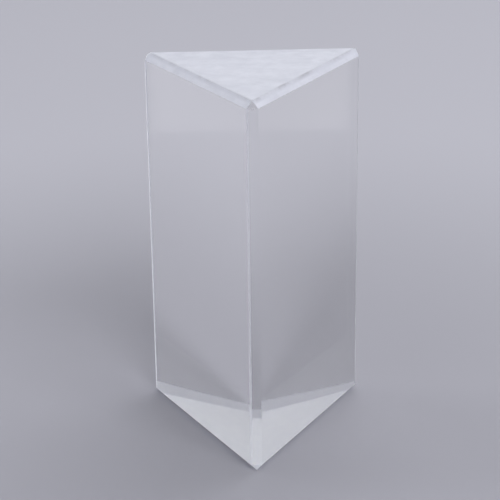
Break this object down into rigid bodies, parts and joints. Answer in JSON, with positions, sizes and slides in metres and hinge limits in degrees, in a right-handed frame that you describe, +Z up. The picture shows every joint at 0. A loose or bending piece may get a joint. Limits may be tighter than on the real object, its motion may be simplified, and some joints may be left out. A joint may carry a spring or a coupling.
{
  "type": "glass prism",
  "caption": "Triangular block of clear optical glass with polished faces and ground ends, which stands on an end and bends or splits a beam of light.",
  "frame": {"origin": "on the block's long axis, which is the same distance from every polished face, at the flat of the lower ground end", "axes": "+Z up the block's length to the upper ground end, -Y out through the edge nearest the viewer, +Y out of the back polished face, +X to the viewer's right"},
  "size_m": [0.0286, 0.0248, 0.05],
  "materials": {
    "optical_glass": "polished"
  },
  "bodies": {
    "root": {"glass_prism": "optical_glass"}
  },
  "joints": []
}
